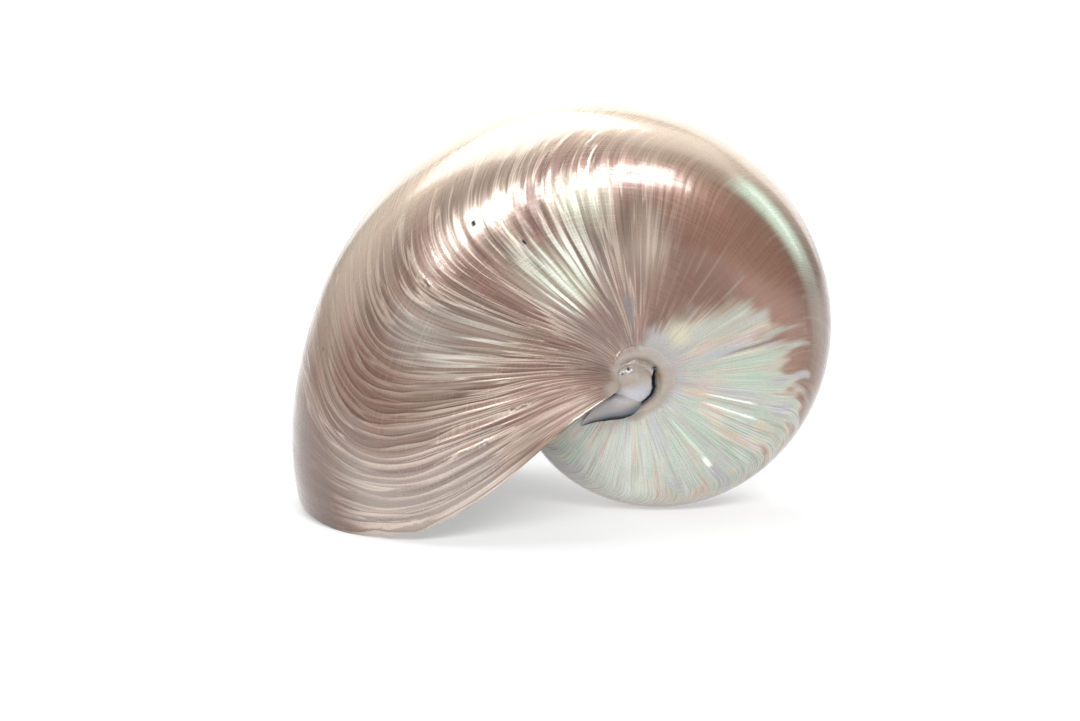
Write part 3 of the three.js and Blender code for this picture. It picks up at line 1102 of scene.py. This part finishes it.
# Name, azimuth, elevation, distance, width and height, power, and roll about the lamp's own ray.
SOFTBOXES = (
    ("right_softbox", 22.0, 41.0, 1.3, (0.58, 0.36), 9.2, 0.0),
    ("window", 2.0, 26.0, 1.3, (0.13, 0.40), 1.1, 0.0),
    ("left_softbox", -20.5, 35.0, 1.3, (0.55, 0.36), 8.4, 30.0),
    ("top_softbox", -140.0, 66.0, 1.2, (1.15, 1.1), 14.0, 0.0),
    ("side_strip", 92.0, 26.0, 0.9, (0.10, 0.5), 0.45, 0.0),
    ("overhead_panel", 115.0, 62.0, 1.3, (0.9, 0.9), 2.4, 0.0),
    ("back_softbox", 172.0, 20.0, 1.6, (2.6, 1.2), 12.0, 0.0),
)
ROOM_COLOUR = (0.95, 0.97, 1.0, 1.0)
ROOM_STRENGTH = 0.13
TABLE_SIZE = 8.0
TABLE_GLOW = 0.42

CAMERA_ELEVATION = math.radians(14.0)
CAMERA_DISTANCE = 0.9146
SENSOR_WIDTH = 36.0  # millimetres, as is the lens
LENS = 100.0
FRAME_LEFT = 28.2 * MM  # from the coiling axis to the middle of the picture
FRAME_DOWN = 0.7 * MM


def build_table():
    add_plane = bpy.ops.mesh.primitive_plane_add
    table = new_primitive("table", add_plane, size=TABLE_SIZE, location=(0.0, 0.0, 0.0))
    paper = Paint("white_paper").finish(
        Base_Color=(0.5, 0.5, 0.5),
        Roughness=0.9,
        Emission_Color=(1.0, 1.0, 1.0),
        Emission_Strength=TABLE_GLOW,
    )
    table.data.materials.append(paper)


def light_room():
    world = bpy.data.worlds.new("studio")
    world.use_nodes = True
    background = world.node_tree.nodes["Background"]
    background.inputs["Color"].default_value = ROOM_COLOUR
    background.inputs["Strength"].default_value = ROOM_STRENGTH
    bpy.context.scene.world = world
    bpy.context.scene.view_settings.view_transform = "Standard"


def add_softbox(name, azimuth, elevation, distance, size, power, roll):
    light = bpy.data.lights.new(name, "AREA")
    light.shape = "RECTANGLE"
    light.size, light.size_y = size
    light.energy = power
    box = bpy.data.objects.new(name, light)
    a, e = math.radians(azimuth), math.radians(elevation)
    ray = Vector((math.sin(a) * math.cos(e), -math.cos(a) * math.cos(e), math.sin(e)))
    box.location = LAMPS_AIM_AT + ray * distance
    aim = (-ray).to_track_quat("-Z", "Y") @ Quaternion((0.0, 0.0, 1.0), math.radians(roll))
    box.rotation_euler = aim.to_euler()
    bpy.context.scene.collection.objects.link(box)


def add_camera():
    camera = bpy.data.cameras.new("camera")
    camera.sensor_width = SENSOR_WIDTH
    camera.lens = LENS
    holder = bpy.data.objects.new("camera", camera)
    forward = Vector((0.0, math.cos(CAMERA_ELEVATION), -math.sin(CAMERA_ELEVATION)))
    up = Vector((0.0, math.sin(CAMERA_ELEVATION), math.cos(CAMERA_ELEVATION)))
    middle = AXIS + Vector((-FRAME_LEFT, 0.0, 0.0)) - up * FRAME_DOWN
    holder.location = middle - forward * CAMERA_DISTANCE
    holder.rotation_euler = (math.radians(90.0) - CAMERA_ELEVATION, 0.0, 0.0)
    bpy.context.scene.collection.objects.link(holder)
    bpy.context.scene.camera = holder


build_table()
light_room()
for softbox in SOFTBOXES:
    add_softbox(*softbox)
add_camera()
